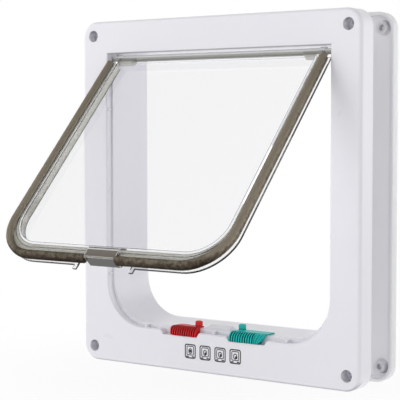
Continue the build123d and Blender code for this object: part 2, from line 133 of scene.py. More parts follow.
class NodeBench:
    """Adds and links the nodes of one material or of the surroundings."""

    def __init__(self, owner: bpy.types.Material | bpy.types.World, output: str = "OutputMaterial") -> None:
        """Start an empty node tree.

        Args:
            owner: The new material or world.
            output: Type name of its output node, without its prefix.
        """
        owner.use_nodes = True
        self.owner = owner
        self.tree = owner.node_tree
        self.tree.nodes.clear()
        self.output = self.add(output)

    def plug(self, node: bpy.types.Node, inputs: dict[str | int, Any]) -> None:
        """Set or link inputs of a node.

        Args:
            node: The node.
            inputs: Values, or outputs of other nodes, by the input's name or number.
        """
        for key, value in inputs.items():
            if isinstance(value, Socket):
                self.tree.links.new(value, node.inputs[key])
            else:
                node.inputs[key].default_value = value

    def add(self, kind: str, inputs: dict[str | int, Any] | None = None, **settings: Any) -> bpy.types.Node:
        """Add one node.

        Args:
            kind: Blender's type name, without its ShaderNode prefix.
            inputs: Values, or outputs of other nodes, by the input's name or number.
            **settings: Values for the node's own properties.

        Returns:
            The new node.
        """
        node = self.tree.nodes.new("ShaderNode" + kind)
        for key, value in settings.items():
            setattr(node, key, value)
        self.plug(node, inputs or {})
        return node

    def math(self, operation: str, *terms: float | Socket) -> Socket:
        """Add an operation on numbers and outputs, in the order that it takes them."""
        return self.add("Math", dict(enumerate(terms)), operation=operation).outputs["Value"]

    def axis(self, vector: Socket, name: str) -> Socket:
        """Add one axis, X, Y or Z, of a vector."""
        return self.add("SeparateXYZ", {"Vector": vector}).outputs[name]

    def place(self, scale: tuple[float, float, float] = (1.0, 1.0, 1.0)) -> Socket:
        """Add Object coordinates, stretched by a scale along X, Y and Z."""
        coordinates = self.add("TexCoord").outputs["Object"]
        return self.add("Mapping", {"Vector": coordinates, "Scale": scale}).outputs["Vector"]

    def flap_axis(self, flap: FlapPlace, name: str) -> Socket:
        """Add one axis of the hanging flap's own frame.

        Args:
            flap: Where that frame lies.
            name: X across, Y through the flap towards the rear, or Z up from the hinge line.

        Returns:
            The place along that axis, in millimetres.
        """
        inputs = {
            "Vector": self.add("TexCoord").outputs["Object"],
            "Location": (0.0, flap.hinge_y, flap.hinge_z),
            "Rotation": (-flap.open_angle, 0.0, 0.0),
        }
        mapping = self.add("Mapping", inputs, vector_type="TEXTURE")
        return self.math("MULTIPLY", self.axis(mapping.outputs["Vector"], name), 1.0 / MM)

    def noise(self, place: Socket, pattern: Pattern) -> Socket:
        """Add a noise pattern that follows a place."""
        inputs = {"Vector": place, "Scale": pattern.scale, "Detail": pattern.detail}
        return self.add("TexNoise", inputs).outputs["Fac"]

    def ramp(self, level: Socket, stops: Iterable[tuple[float, Colour]]) -> Socket:
        """Add a colour ramp.

        Args:
            level: What drives the ramp.
            stops: Positions and colours, two or more.

        Returns:
            The ramp's colour.
        """
        ramp = self.add("ValToRGB", {"Fac": level})
        elements = ramp.color_ramp.elements
        given = len(elements)
        for index, (position, colour) in enumerate(stops):
            element = elements[index] if index < given else elements.new(position)
            element.position = position
            element.color = (*colour, 1.0)
        return ramp.outputs["Color"]

    def tones(self, noise: Socket, pattern: Pattern, first: Colour, second: Colour) -> Socket:
        """Add the two colours of a noise pattern."""
        return self.ramp(noise, zip(pattern.stops, (first, second)))

    def scale_ramp(self, place: Socket, stops: Stops) -> Socket:
        """Add a colour ramp along a length.

        Args:
            place: Place along the length.
            stops: Places, in rising order, and their colours.

        Returns:
            The ramp's colour.
        """
        low, high = stops[0][0], stops[-1][0]
        level = self.span(place, 0.0, 1.0, (low, high))
        return self.ramp(level, [((spot - low) / (high - low), tint) for spot, tint in stops])

    def span(
        self,
        source: Socket,
        low: float,
        high: float,
        limits: Pair = (0.0, 1.0),
        **settings: Any,
    ) -> Socket:
        """Map an output onto a span.

        Args:
            source: The output that is mapped.
            low: Result at the first limit.
            high: Result at the second limit.
            limits: Values of the output that the span goes between.
            **settings: Values for the Map Range node's own properties.

        Returns:
            The mapped value.
        """
        inputs = {
            "Value": source,
            "From Min": limits[0],
            "From Max": limits[1],
            "To Min": low,
            "To Max": high,
        }
        return self.add("MapRange", inputs, **settings).outputs["Result"]

    def drift(self, noise: Socket, gloss: Gloss) -> Socket:
        """Add a roughness that follows a noise pattern."""
        return self.span(noise, gloss.middle - gloss.spread, gloss.middle + gloss.spread)

    def bump(self, height: Socket, relief: Relief, **more: Any) -> Socket:
        """Add a bump from a height pattern, with more of its inputs by name."""
        inputs = {"Height": height, "Distance": relief.depth, "Strength": relief.strength, **more}
        return self.add("Bump", inputs).outputs["Normal"]

    def rounded(self, radius: float, samples: int) -> Socket:
        """Add the normal of the surface with its edges rounded to a radius."""
        return self.add("Bevel", {"Radius": radius}, samples=samples).outputs["Normal"]

    def edges(self, radius: float, limits: Pair, samples: int = 12) -> Socket:
        """Add a mask of the sharp edges.

        Args:
            radius: How far from an edge its neighbour is felt, in metres.
            limits: Agreement of the surface with its rounded form where the mask is 1 and where it is 0.
            samples: Rays that feel for the neighbour.

        Returns:
            A mask that is 1 on the edges and 0 elsewhere.
        """
        normals = {0: self.add("NewGeometry").outputs["True Normal"], 1: self.rounded(radius, samples)}
        match = self.add("VectorMath", normals, operation="DOT_PRODUCT")
        return self.span(match.outputs["Value"], 1.0, 0.0, limits)

    def seen_directly(self) -> Socket:
        """Add a mask of some rays.

        Returns:
            A mask that is 1 for rays from the camera, from gloss and through clear parts, and otherwise 0.
        """
        rays = self.add("LightPath").outputs
        sharp = self.math("MAXIMUM", rays["Is Glossy Ray"], rays["Is Transmission Ray"])
        return self.math("MAXIMUM", rays["Is Camera Ray"], sharp)

    def surface(self, inputs: dict[str | int, Any]) -> Socket:
        """Add a Principled shader with these inputs."""
        return self.add("BsdfPrincipled", inputs).outputs["BSDF"]

    def mix(self, share: Socket, first: Socket, second: Socket) -> Socket:
        """Add a mix of two shaders, with the share of the second."""
        return self.add("MixShader", {"Fac": share, 1: first, 2: second}).outputs["Shader"]

    def finish(self, **ends: Socket) -> bpy.types.Material | bpy.types.World:
        """Put shaders on the output node, by its inputs' names, and return the material or world."""
        self.plug(self.output, ends)
        return self.owner


@dataclass(frozen=True)
class PaintedShade:
    """Painted shade in the colour of a moulded surface: darker in its hollows, and on faces that look down
    under the frame's front edges.

    Attributes:
        level: Share of the colour that the painted shade leaves deep in a hollow.
        reach: How far away a facing surface makes a hollow.
        limits: Openness of the surface where it is darkest and where it has its full colour.
        alone: Whether only the node's own surfaces make its hollows.
        samples: Rays that feel for the hollows.
        outside: Distance from the middle, across, inside which hollows stay light.
        fade: Width of the change at that distance.
        under_level: Share of the colour that the painted shade leaves on faces that look down.
        under_facing: Upward part of the normal where that is full and where it ends.
        under_front: Places through the door where that is full and where it ends.
    """

    level: float = 0.35
    reach: float = 5.0 * MM
    limits: Pair = (0.1, 0.6)
    alone: bool = True
    samples: int = 12
    outside: float = 0.0
    fade: float = 5.0 * MM
    under_level: float = 1.0
    under_facing: Pair = (-0.8, -0.3)
    under_front: Pair = (-10.0 * MM, -9.0 * MM)

    def shade(self, bench: NodeBench, tint: Socket) -> Socket:
        """Add the painted shade to a colour.

        Args:
            bench: The material's nodes.
            tint: Colour of the open surface.

        Returns:
            The shaded colour.
        """
        settings = {"samples": self.samples, "only_local": self.alone}
        # painted shade: darker where ambient occlusion finds a hollow
        hollow = bench.add("AmbientOcclusion", {"Distance": self.reach}, **settings).outputs["AO"]
        occlusion_shade = bench.span(hollow, self.level - 1.0, 0.0, self.limits)
        place = bench.place()
        away = bench.math("ABSOLUTE", bench.axis(place, "X"))
        outer = bench.span(away, 0.0, 1.0, (self.outside - self.fade, self.outside))
        level = bench.math("MULTIPLY_ADD", occlusion_shade, outer, 1.0)
        # painted shade on faces that look down at the frame's front
        normal = bench.add("NewGeometry").outputs["True Normal"]
        down = bench.span(bench.axis(normal, "Z"), 1.0, 0.0, self.under_facing)
        front = bench.span(bench.axis(place, "Y"), self.under_level - 1.0, 0.0, self.under_front)
        total = bench.math("MULTIPLY_ADD", down, front, level)
        shaded = bench.add("VectorMath", {"Vector": tint, "Scale": total}, operation="SCALE")
        return shaded.outputs["Vector"]


@dataclass(frozen=True)
class MouldedPlastic:
    """Injection-moulded plastic with faint flow clouds, a fine tool grain, and painted shade in its crevices.
    """

    name: str
    colour: Colour
    shade: Colour
    cloud: Pattern = Pattern(24.0, 3.0, (0.25, 0.75))
    gloss: Gloss = Gloss(0.3, 0.06)
    grain: Pattern = Pattern(1900.0, 2.0)
    relief: Relief = Relief(0.02 * MM, 0.12)
    edge_radius: float = 0.3 * MM
    edge_samples: int = 6
    ior: float = 1.48
    specular: float = 0.5
    glow_weight: float = 0.0
    glow_shares: Colour = (1.0, 1.0, 1.0)
    glow_depth: float = 3.0 * MM
    painted_shade: PaintedShade = PaintedShade()

    def build(self) -> bpy.types.Material:
        """Make the node material.

        Returns:
            The new material.
        """
        bench = NodeBench(bpy.data.materials.new(self.name))
        place = bench.place()
        cloud = bench.noise(place, self.cloud)
        grain = bench.noise(place, self.grain)
        edge = bench.rounded(self.edge_radius, self.edge_samples)
        tint = bench.tones(cloud, self.cloud, self.shade, self.colour)
        shader = bench.surface(
            {
                # the colour carries painted shade in hollows and under the front edges
                "Base Color": self.painted_shade.shade(bench, tint),
                "Roughness": bench.drift(cloud, self.gloss),
                "Normal": bench.bump(grain, self.relief, Normal=edge),
                "IOR": self.ior,
                "Specular IOR Level": self.specular,
                "Subsurface Weight": self.glow_weight,
                "Subsurface Radius": self.glow_shares,
                "Subsurface Scale": self.glow_depth,
            }
        )
        return bench.finish(Surface=shader)


@dataclass(frozen=True)
class ClearPlastic:
    """Clear polished plastic with painted dark shade lines on its sharp edges, and a satin hinge bar with a
    painted highlight above and painted shade below.

    Places on the flap and sizes of its bar and ears are in millimetres, from the hinge line.
    """

    name: str
    flap: FlapPlace
    colour: Colour = (0.985, 0.985, 1.0)
    # colour of the painted dark shade lines on the sharp edges
    edge_shade_colour: Colour = (0.03, 0.028, 0.025)
    edge_radius: float = 1.1 * MM
    edge_limits: Pair = (0.92, 0.985)
    lined_from: float = -185.0
    lined_to: float = -9.0
    # painted highlight at the top of the bar and painted shade below it, by height
    bar_highlight_and_shade: Stops = (
        (-4.0, (0.8, 0.79, 0.75)),
        (-2.4, (0.55, 0.54, 0.5)),
        (-1.6, (0.26, 0.26, 0.245)),
        (-0.4, (0.4, 0.4, 0.38)),
        (0.4, (0.42, 0.42, 0.4)),
        (0.8, WHITE),
    )
    bar_radius: float = 2.5
    ear_bottom: float = -6.2
    ear_back: float = 1.6
    blend: float = 0.1
    bar_clear: float = 0.1
    bar_roughness: float = 0.3
    depth_colour: Colour = (0.72, 0.73, 0.71)
    depth_density: float = 45.0
    gloss: Gloss = Gloss(0.02, 0.015)
    haze: Pattern = Pattern(330.0, 3.0)
    ripple: Pattern = Pattern(55.0, 1.0)
    relief: Relief = Relief(0.05 * MM, 0.12)
    ior: float = 1.49

    def build(self) -> bpy.types.Material:
        """Make the node material.

        Returns:
            The new material.
        """
        bench = NodeBench(bpy.data.materials.new(self.name))
        place = bench.place()
        # painted dark shade lines along the sharp edges
        tint = bench.ramp(self.painted_edge_lines(bench), ((0.0, self.colour), (1.0, self.edge_shade_colour)))
        clear = bench.surface(
            {
                "Base Color": tint,
                "Roughness": bench.drift(bench.noise(place, self.haze), self.gloss),
                "Normal": bench.bump(bench.noise(place, self.ripple), self.relief),
                "IOR": self.ior,
                "Transmission Weight": 1.0,
            }
        )
        satin = bench.surface(
            {
                # painted highlight and painted shade on the hinge bar
                "Base Color": self.painted_bar_light(bench),
                "Roughness": self.bar_roughness,
                "IOR": self.ior,
                "Transmission Weight": self.bar_clear,
            }
        )
        murk = {"Color": (*self.depth_colour, 1.0), "Density": self.depth_density}
        depth = bench.add("VolumeAbsorption", murk).outputs["Volume"]
        return bench.finish(Surface=bench.mix(self.bar_mask(bench), clear, satin), Volume=depth)

    def painted_edge_lines(self, bench: NodeBench) -> Socket:
        """Add a mask of the painted dark shade lines on the channel's sharp edges, below the hinge and above
        the lock stops.

        Args:
            bench: The material's nodes.

        Returns:
            A mask that is 1 on those edges and 0 elsewhere.
        """
        height = bench.flap_axis(self.flap, "Z")
        above = bench.math("GREATER_THAN", height, self.lined_from)
        below = bench.math("LESS_THAN", height, self.lined_to)
        between = bench.math("MULTIPLY", above, below)
        return bench.math("MULTIPLY", between, bench.edges(self.edge_radius, self.edge_limits))

    def painted_bar_light(self, bench: NodeBench) -> Socket:
        """Add the bar's colour: a painted highlight at the top and painted shade lower down, by the height
        above the hinge line.

        Args:
            bench: The material's nodes.

        Returns:
            The colour.
        """
        up = bench.axis(bench.place(), "Z")
        height = bench.math("MULTIPLY_ADD", up, 1.0 / MM, -self.flap.hinge_z / MM)
        return bench.scale_ramp(height, self.bar_highlight_and_shade)

    def bar_mask(self, bench: NodeBench) -> Socket:
        """Add a mask of the bar, the ears and the tops of the legs.

        Args:
            bench: The material's nodes.

        Returns:
            A mask that is 1 there and 0 elsewhere.
        """
        through = bench.flap_axis(self.flap, "Y")
        height = bench.flap_axis(self.flap, "Z")
        squares = [bench.math("POWER", length, 2.0) for length in (through, height)]
        reach = bench.math("SQRT", bench.math("ADD", *squares))
        bar = bench.span(reach, 1.0, 0.0, (self.bar_radius - self.blend, self.bar_radius))
        above = bench.span(height, 0.0, 1.0, (self.ear_bottom, self.ear_bottom + self.blend))
        before = bench.span(through, 1.0, 0.0, (self.ear_back - self.blend, self.ear_back))
        return bench.math("MAXIMUM", bar, bench.math("MULTIPLY", above, before))


@dataclass(frozen=True)
class SmokedPlastic:
    """Smoked brown plastic of the clip, darker and greyer at its bottom, with a painted highlight band and
    painted dark outline lines near its top, and painted highlights on its edges.

    The colours' places are in millimetres above the hinge line of the hanging flap.
    """

    name: str
    flap: FlapPlace
    # painted dark outline lines and a painted highlight band near the top of the clip; darker and greyer at
    # the bottom
    stops: Stops = (
        (-183.0, (0.075, 0.072, 0.07)),
        (-182.3, (0.15, 0.125, 0.1)),
        (-177.8, (0.2, 0.165, 0.135)),
        (-177.3, (0.06, 0.053, 0.047)),
        (-177.0, (0.85, 0.83, 0.79)),
        (-176.2, (0.85, 0.83, 0.79)),
        (-175.9, (0.05, 0.046, 0.042)),
    )
    # colour of the painted highlight on the edges
    edge: Colour = (0.78, 0.75, 0.7)
    edge_radius: float = 1.0 * MM
    edge_limits: Pair = (0.95, 0.995)
    cloud: Pattern = Pattern(420.0, 3.0)
    cloud_share: float = 0.3
    gloss: Gloss = Gloss(0.2, 0.06)
    ior: float = 1.49
    clearness: float = 0.15

    def build(self) -> bpy.types.Material:
        """Make the node material.

        Returns:
            The new material.
        """
        bench = NodeBench(bpy.data.materials.new(self.name))
        cloud = bench.noise(bench.place(), self.cloud)
        gloss = bench.drift(cloud, self.gloss)
        height = bench.math("MULTIPLY_ADD", cloud, self.cloud_share, bench.flap_axis(self.flap, "Z"))
        face = bench.surface(
            {
                "Base Color": bench.scale_ramp(height, self.stops),
                "Roughness": gloss,
                "IOR": self.ior,
                "Transmission Weight": self.clearness,
            }
        )
        # the edges get the painted highlight
        line = bench.surface({"Base Color": (*self.edge, 1.0), "Roughness": gloss, "IOR": self.ior})
        return bench.finish(Surface=bench.mix(bench.edges(self.edge_radius, self.edge_limits), face, line))


@dataclass(frozen=True)
class PileFinish:
    """Brushed draught pile, mottled from fibre to fibre, with painted light and shade: lighter at its front
    and darker behind, and lighter on the legs than along the bottom.

    Limits on the flap are in millimetres, through it and above its hinge line.
    """

    name: str
    flap: FlapPlace
    dark: Colour = (0.03, 0.022, 0.014)
    middle: Colour = (0.14, 0.11, 0.08)
    light: Colour = (0.42, 0.37, 0.29)
    tone_stops: tuple[float, float, float] = (0.1, 0.5, 1.0)
    # painted light at the pile's front and painted shade behind it
    painted_front_light: Pair = (0.75, 0.1)
    painted_front_light_limits: Pair = (-6.4, -2.6)
    mottle: Pattern = Pattern(420.0, 2.0, (0.3, 0.7))
    mottle_span: Pair = (-0.5, 0.5)
    mottle_share: float = 0.4
    fibre_share: float = 0.2
    # painted light on the legs and painted shade along the bottom run
    painted_leg_light: Pair = (-0.18, 0.55)
    leg_limits: Pair = (-182.0, -166.0)
    roughness: float = 0.85
    specular: float = 0.2
    sheen: float = 0.3
    sheen_roughness: float = 0.4

    def build(self) -> bpy.types.Material:
        """Make the node material.

        Returns:
            The new material.
        """
        bench = NodeBench(bpy.data.materials.new(self.name))
        mottle = bench.noise(bench.place(), self.mottle)
        clumps = bench.span(mottle, *self.mottle_span, self.mottle.stops)
        # painted light at the front of the pile, painted shade behind
        painted_front_light = bench.span(bench.flap_axis(self.flap, "Y"), *self.painted_front_light, self.painted_front_light_limits)
        # painted light on the legs, painted shade on the bottom run
        lift = bench.span(bench.flap_axis(self.flap, "Z"), *self.painted_leg_light, self.leg_limits)
        blotch = bench.math("MULTIPLY_ADD", clumps, self.mottle_share, painted_front_light)
        fibre = bench.add("NewGeometry").outputs["Random Per Island"]
        blend = bench.math("MULTIPLY_ADD", fibre, self.fibre_share, blotch)
        tones = zip(self.tone_stops, (self.dark, self.middle, self.light))
        shader = bench.surface(
            {
                "Base Color": bench.ramp(bench.math("ADD", blend, lift), tones),
                "Roughness": self.roughness,
                "Sheen Weight": self.sheen,
                "Sheen Roughness": self.sheen_roughness,
                "Sheen Tint": (*self.light, 1.0),
                "Specular IOR Level": self.specular,
            }
        )
        return bench.finish(Surface=shader)


@dataclass(frozen=True)
class BackingTape:
    """Woven tape that carries the pile, pale olive with a fine rib."""

    name: str
    colour: Colour = (0.8, 0.79, 0.71)
    shade: Colour = (0.6, 0.59, 0.51)
    ribs: Pattern = Pattern(900.0, 3.0, (0.35, 0.65))
    relief: Relief = Relief(0.1 * MM, 0.4)
    gloss: Gloss = Gloss(0.8, 0.1)
    specular: float = 0.2

    def build(self) -> bpy.types.Material:
        """Make the node material.

        Returns:
            The new material.
        """
        bench = NodeBench(bpy.data.materials.new(self.name))
        ribs = bench.noise(bench.place(), self.ribs)
        shader = bench.surface(
            {
                "Base Color": bench.tones(ribs, self.ribs, self.shade, self.colour),
                "Roughness": bench.drift(ribs, self.gloss),
                "Normal": bench.bump(ribs, self.relief),
                "Specular IOR Level": self.specular,
            }
        )
        return bench.finish(Surface=shader)


@dataclass(frozen=True)
class PlatedSteel:
    """Dull nickel plating with fine drawing lines along the bar."""

    name: str
    colour: Colour = (0.52, 0.52, 0.53)
    shade: Colour = (0.36, 0.36, 0.37)
    lines: Pattern = Pattern(420.0, 4.0, (0.3, 0.7))
    stretch: tuple[float, float, float] = (0.05, 1.0, 1.0)
    relief: Relief = Relief(0.01 * MM, 0.3)
    gloss: Gloss = Gloss(0.38, 0.1)

    def build(self) -> bpy.types.Material:
        """Make the node material.

        Returns:
            The new material.
        """
        bench = NodeBench(bpy.data.materials.new(self.name))
        lines = bench.noise(bench.place(self.stretch), self.lines)
        shader = bench.surface(
            {
                "Base Color": bench.tones(lines, self.lines, self.shade, self.colour),
                "Roughness": bench.drift(lines, self.gloss),
                "Normal": bench.bump(lines, self.relief),
                "Metallic": 1.0,
            }
        )
        return bench.finish(Surface=shader)


@dataclass(frozen=True)
class PrintedInk:
    """Pad-printed ink, slightly uneven in cover."""

    name: str
    colour: Colour
    thin: Colour
    cover: Pattern = Pattern(900.0, 3.0, (0.4, 0.8))
    gloss: Gloss = Gloss(0.45, 0.1)

    def build(self) -> bpy.types.Material:
        """Make the node material.

        Returns:
            The new material.
        """
        bench = NodeBench(bpy.data.materials.new(self.name))
        cover = bench.noise(bench.place(), self.cover)
        shader = bench.surface(
            {
                "Base Color": bench.tones(cover, self.cover, self.colour, self.thin),
                "Roughness": bench.drift(cover, self.gloss),
            }
        )
        return bench.finish(Surface=shader)


@dataclass(frozen=True)
class StudioFloor:
    """Pale floor that keeps the object's shadow and fades to plain white away from it."""

    name: str
    colour: Colour = (0.95, 0.95, 0.955)
    grain: Pattern = Pattern(40.0, 2.0, (0.3, 0.7))
    grain_level: float = 0.985
    roughness: float = 0.7
    specular: float = 0.1
    glow: float = 0.7
    lift: float = 0.85
    fade: Pair = (0.05, 0.3)

    def build(self) -> bpy.types.Material:
        """Make the node material.

        Returns:
            The new material.
        """
        bench = NodeBench(bpy.data.materials.new(self.name))
        place = bench.place()
        grain = bench.noise(place, self.grain)
        worn = tuple(self.grain_level * channel for channel in self.colour)
        shader = bench.surface(
            {
                "Base Color": bench.tones(grain, self.grain, worn, self.colour),
                "Roughness": self.roughness,
                "Specular IOR Level": self.specular,
            }
        )
        distance = bench.add("VectorMath", {"Vector": place}, operation="LENGTH").outputs["Value"]
        fade = bench.span(distance, self.lift, 1.0, self.fade, interpolation_type="SMOOTHSTEP")
        level = bench.span(bench.seen_directly(), self.glow, 1.0)
        white = bench.add("Emission", {"Color": (*WHITE, 1.0), "Strength": 1.0}).outputs["Emission"]
        return bench.finish(Surface=bench.mix(bench.math("MULTIPLY", level, fade), shader, white))


def new_mesh(name: str, shape: bmesh.types.BMesh) -> bpy.types.Mesh:
    """Make a mesh from a finished bmesh, and free the bmesh.

    Args:
        name: Name of the mesh.
        shape: Its shape.

    Returns:
        The new mesh.
    """
    mesh = bpy.data.meshes.new(name)
    shape.to_mesh(mesh)
    shape.free()
    return mesh


def new_piece(
    name: str,
    shape: bmesh.types.BMesh,
    finish: bpy.types.Material,
    smooth: bool = True,
) -> bpy.types.Object:
    """Make an object at the origin from a finished bmesh, and free the bmesh.

    Args:
        name: Name of the piece.
        shape: Its shape in the part's frame.
        finish: Its material.
        smooth: Whether its faces shade smoothly.

    Returns:
        The new object.
    """
    mesh = new_mesh(name, shape)
    mesh.polygons.foreach_set("use_smooth", [smooth] * len(mesh.polygons))
    mesh.materials.append(finish)
    piece = bpy.data.objects.new(name, mesh)
    bpy.context.scene.collection.objects.link(piece)
    return piece


def pull(
    shape: bmesh.types.BMesh,
    faces: list[bmesh.types.BMFace],
    course: Vector,
    keep: bool = False,
) -> list[bmesh.types.BMFace]:
    """Extrude faces along a straight course.

    Args:
        shape: Bmesh that holds the faces.
        faces: The faces, such as one end of a bar.
        course: How far they go.
        keep: Whether the first faces stay, as the back of what is extruded.

    Returns:
        The new faces at the far end.
    """
    made = bmesh.ops.extrude_face_region(shape, geom=faces, use_keep_orig=keep)["geom"]
    moved = [item for item in made if isinstance(item, bmesh.types.BMVert)]
    bmesh.ops.translate(shape, verts=moved, vec=course)
    return [item for item in made if isinstance(item, bmesh.types.BMFace)]


@dataclass
class PileStrip:
    """One draught strip: a backing tape in the flap's channel, and a bead of short fibres that stands out.

    The sections of the tape and the bead are points across and through the hanging flap, in millimetres.
    """

    side: Side
    place: FlapPlace
    finish: PileFinish
    tape_finish: BackingTape
    top: float = 7.6 * MM
    bead_corner: Pair = (60.6 * MM, -154.3 * MM)
    tape_corner: Pair = (60.4 * MM, -150.2 * MM)
    clip_x: float = 12.95 * MM
    corner_steps: int = 28
    merge: float = 0.001 * MM
    slice_pitch: float = 0.42 * MM
    slice_kinds: int = 16
    slice_seed: int = 100
    order_seed: int = 41
    fibres: int = 48
    fibre_sides: int = 3
    fibre_radius: float = 0.17 * MM
    fibre_length: float = 0.95 * MM
    fibre_shares: Pair = (0.75, 1.0)
    fibre_root: float = 0.3 * MM
    lean: float = 0.3
    droop: float = 0.25
    tuft_spread: float = 0.16
    tape: tuple[Pair, ...] = (
        (85.55, 2.5),
        (85.55, -2.5),
        (90.8, -2.5),
        (90.8, -1.4),
        (87.3, -1.4),
        (87.3, 2.5),
    )
    bead: tuple[Pair, ...] = (
        (87.6, -2.6),
        (87.7, -4.7),
        (88.3, -5.7),
        (89.3, -6.45),
        (90.3, -6.5),
        (91.2, -6.0),
        (91.8, -5.2),
        (91.95, -4.2),
        (91.95, -2.2),
        (91.8, -1.2),
        (91.2, -0.4),
        (90.3, 0.2),
        (87.6, 0.2),
    )
    furred_from: int = 1
    furred_to: int = 12

    def sweep(self, section: tuple[Pair, ...], corner: Pair) -> bmesh.types.BMesh:
        """Sweep a section down the leg, round the bend and along the bottom of a strip on the right.

        Args:
            section: Points across and through the hanging flap, in millimetres.
            corner: Centre of the bend, across and up.

        Returns:
            A closed bmesh in the hanging flap's frame.
        """
        across, up = corner
        shape = bmesh.new()
        ring = [shape.verts.new((u * MM, n * MM, -self.top)) for u, n in section]
        end = pull(shape, [shape.faces.new(ring)], Vector((0.0, 0.0, up + self.top)))
        bend = bmesh.ops.spin(
            shape,
            geom=end,
            cent=(across, 0.0, up),
            axis=(0.0, 1.0, 0.0),
            angle=QUARTER_TURN,
            steps=self.corner_steps,
        )["geom_last"]
        end = [item for item in bend if isinstance(item, bmesh.types.BMFace)]
        pull(shape, end, Vector((self.clip_x - across, 0.0, 0.0)))
        bmesh.ops.remove_doubles(shape, verts=shape.verts, dist=self.merge)
        # The spin leaves a face inside the bar at each end of the bend, with a third face at all its edges.
        inner = [face for face in shape.faces if all(len(edge.link_faces) > 2 for edge in face.edges)]
        bmesh.ops.delete(shape, geom=inner, context="FACES")
        bmesh.ops.recalc_face_normals(shape, faces=shape.faces)
        return shape

    def fibre_slice(self, seed: int) -> bpy.types.Mesh:
        """Make one thin slice of fibres at the leg's section.

        Args:
            seed: Seed of this slice's random draws.

        Returns:
            A mesh of pointed fibres around the bead, at Z 0.
        """
        draw = random.Random(seed)
        sway = Vector((0.0, draw.gauss(0.0, self.tuft_spread), draw.gauss(-self.droop, self.tuft_spread)))
        outline = [Vector((u * MM, n * MM, 0.0)) for u, n in self.bead[self.furred_from:self.furred_to]]
        steps = len(outline) - 1
        shape = bmesh.new()
        for index in range(self.fibres):
            spot = (index + draw.random()) / self.fibres * steps
            low = min(int(spot), steps - 1)
            along = outline[low + 1] - outline[low]
            root = outline[low] + along * (spot - low)
            outward = Vector((along.y, -along.x, 0.0)).normalized()
            tilt = Vector([draw.gauss(0.0, self.lean) for _ in range(3)])
            course = (outward + sway + tilt).normalized()
            length = self.fibre_length * draw.uniform(*self.fibre_shares)
            middle = root + course * (length / 2 - self.fibre_root)
            middle.z += draw.uniform(-0.5, 0.5) * self.slice_pitch  # anywhere in its slice
            turn = course.to_track_quat("Z", "Y").to_matrix().to_4x4()
            bmesh.ops.create_cone(
                shape,
                cap_ends=True,
                segments=self.fibre_sides,
                radius1=self.fibre_radius,
                radius2=0.0,
                depth=length,
                matrix=Matrix.Translation(middle) @ turn,
            )
        return new_mesh("fibre_slice", shape)

    def slice_places(self) -> list[Matrix]:
        """Find the places of the slices along a strip on the right.

        Returns:
            Matrices that carry a slice there from the leg's section, down the leg and on to the clip.
        """
        across, up = self.bead_corner
        widest = max(u for u, _ in self.bead) * MM
        centre = Matrix.Translation((across, 0.0, up))
        home = Matrix.Translation((-across, 0.0, 0.0))
        places = []
        for step in range(int((-up - self.top) / self.slice_pitch)):
            places.append(Matrix.Translation((0.0, 0.0, -self.top - (step + 0.5) * self.slice_pitch)))
        bend_steps = int(QUARTER_TURN * (widest - across) / self.slice_pitch)
        for step in range(bend_steps):
            angle = (step + 0.5) / bend_steps * QUARTER_TURN
            places.append(centre @ Matrix.Rotation(angle, 4, "Y") @ home)
        low = centre @ Matrix.Rotation(QUARTER_TURN, 4, "Y") @ home
        for step in range(int((across - self.clip_x) / self.slice_pitch)):
            places.append(Matrix.Translation((-(step + 0.5) * self.slice_pitch, 0.0, 0.0)) @ low)
        return places

    def add_fibres(self, shape: bmesh.types.BMesh) -> None:
        """Cover a swept bead with slices of fibres.

        Args:
            shape: The bead, in the hanging flap's frame.
        """
        draw = random.Random(self.order_seed + self.side.value)
        first = self.slice_seed * (2 + self.side.value)  # each side draws fibres of its own
        slices = [self.fibre_slice(first + kind) for kind in range(self.slice_kinds)]
        for matrix in self.slice_places():
            tuft = draw.choice(slices).copy()
            tuft.transform(matrix)
            shape.from_mesh(tuft)
            bpy.data.meshes.remove(tuft)
        for mesh in slices:
            bpy.data.meshes.remove(mesh)

    def settle(self, shape: bmesh.types.BMesh) -> None:
        """Carry a strip on the right to this strip's own side, and into the part's frame.

        Args:
            shape: The bead or the tape, in the hanging flap's frame.
        """
        mirror = Matrix.Diagonal((self.side.value, 1.0, 1.0, 1.0))
        bmesh.ops.transform(shape, matrix=mirror, verts=shape.verts)
        if self.side is Side.LEFT:
            bmesh.ops.reverse_faces(shape, faces=shape.faces)
        bmesh.ops.transform(shape, matrix=self.place.matrix(), verts=shape.verts)

    def build(self) -> list[bpy.types.Object]:
        """Build the bead and its tape, dress them and put them in place of the CAD node.

        Returns:
            The bead and the tape.
        """
        word = self.side.name.lower()
        pile = self.sweep(self.bead, self.bead_corner)
        self.add_fibres(pile)
        self.settle(pile)
        bead = new_piece(f"pile_bead_{word}", pile, self.finish.build())
        backing = self.sweep(self.tape, self.tape_corner)
        self.settle(backing)
        tape = new_piece(f"pile_tape_{word}", backing, self.tape_finish.build(), smooth=False)
        for piece in (bead, tape):
            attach(piece, "flap")
            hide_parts(f"pile_strip_{word}")
        return [bead, tape]


@dataclass(frozen=True)
class InkRing:
    """A rounded rectangular outline of ink: its height in the sign, its size, corner radius and line."""

    lift: float
    size: Pair
    corner: float
    line: float
    corner_steps: int = 6


